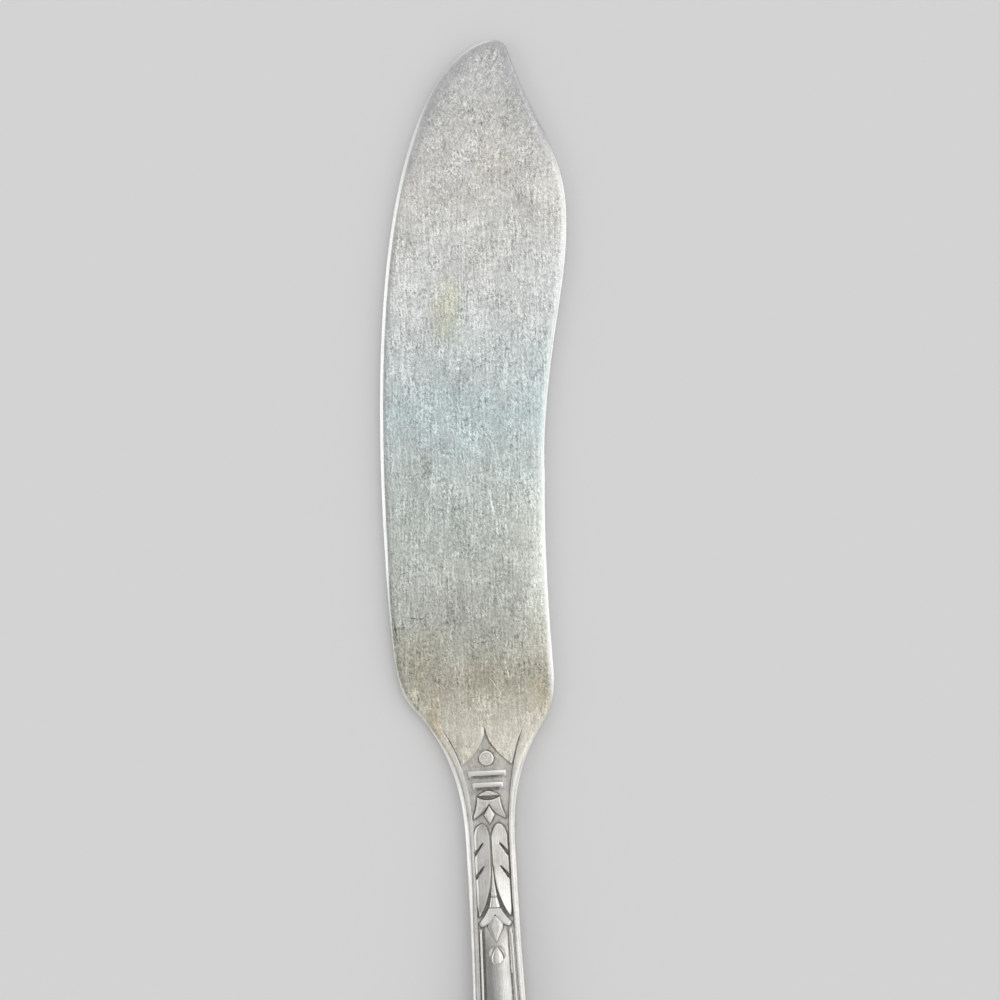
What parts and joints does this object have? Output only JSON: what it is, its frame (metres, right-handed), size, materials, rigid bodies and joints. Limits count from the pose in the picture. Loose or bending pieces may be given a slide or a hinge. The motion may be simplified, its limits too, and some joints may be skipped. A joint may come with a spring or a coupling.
{
  "type": "butter spreader",
  "caption": "Flat-handle silver-plated butter spreader: broad blade with a bulged spreading edge, narrow struck neck with raised ornament, and a bordered handle with a round end.",
  "frame": {"origin": "middle of the part's box on the surface it rests on", "axes": "+Y along the handle axis towards the blade tip, +X towards the spreading edge, +Z out of the ornamented face"},
  "size_m": [0.0216, 0.155, 0.0032],
  "materials": {
    "blade_silver": "worn satin silver plate with fine scratches and faint tarnish",
    "handle_silver": "worn silver plate, bright on edges and darkened in grooves",
    "relief_silver": "worn silver plate, bright on raised edges and darkened around them"
  },
  "bodies": {
    "root": {"blade": "blade_silver", "shank": "handle_silver", "left_border": "handle_silver", "right_border": "handle_silver", "left_cheek": "blade_silver", "right_cheek": "blade_silver", "bead": "relief_silver", "crossbars": "relief_silver", "eye": "relief_silver", "bracket": "relief_silver", "lozenge": "relief_silver", "left_leaf": "relief_silver", "right_leaf": "relief_silver", "stem": "relief_silver", "bract": "relief_silver", "bud": "relief_silver", "drop": "relief_silver", "left_fillet": "relief_silver", "right_fillet": "relief_silver"}
  },
  "joints": []
}
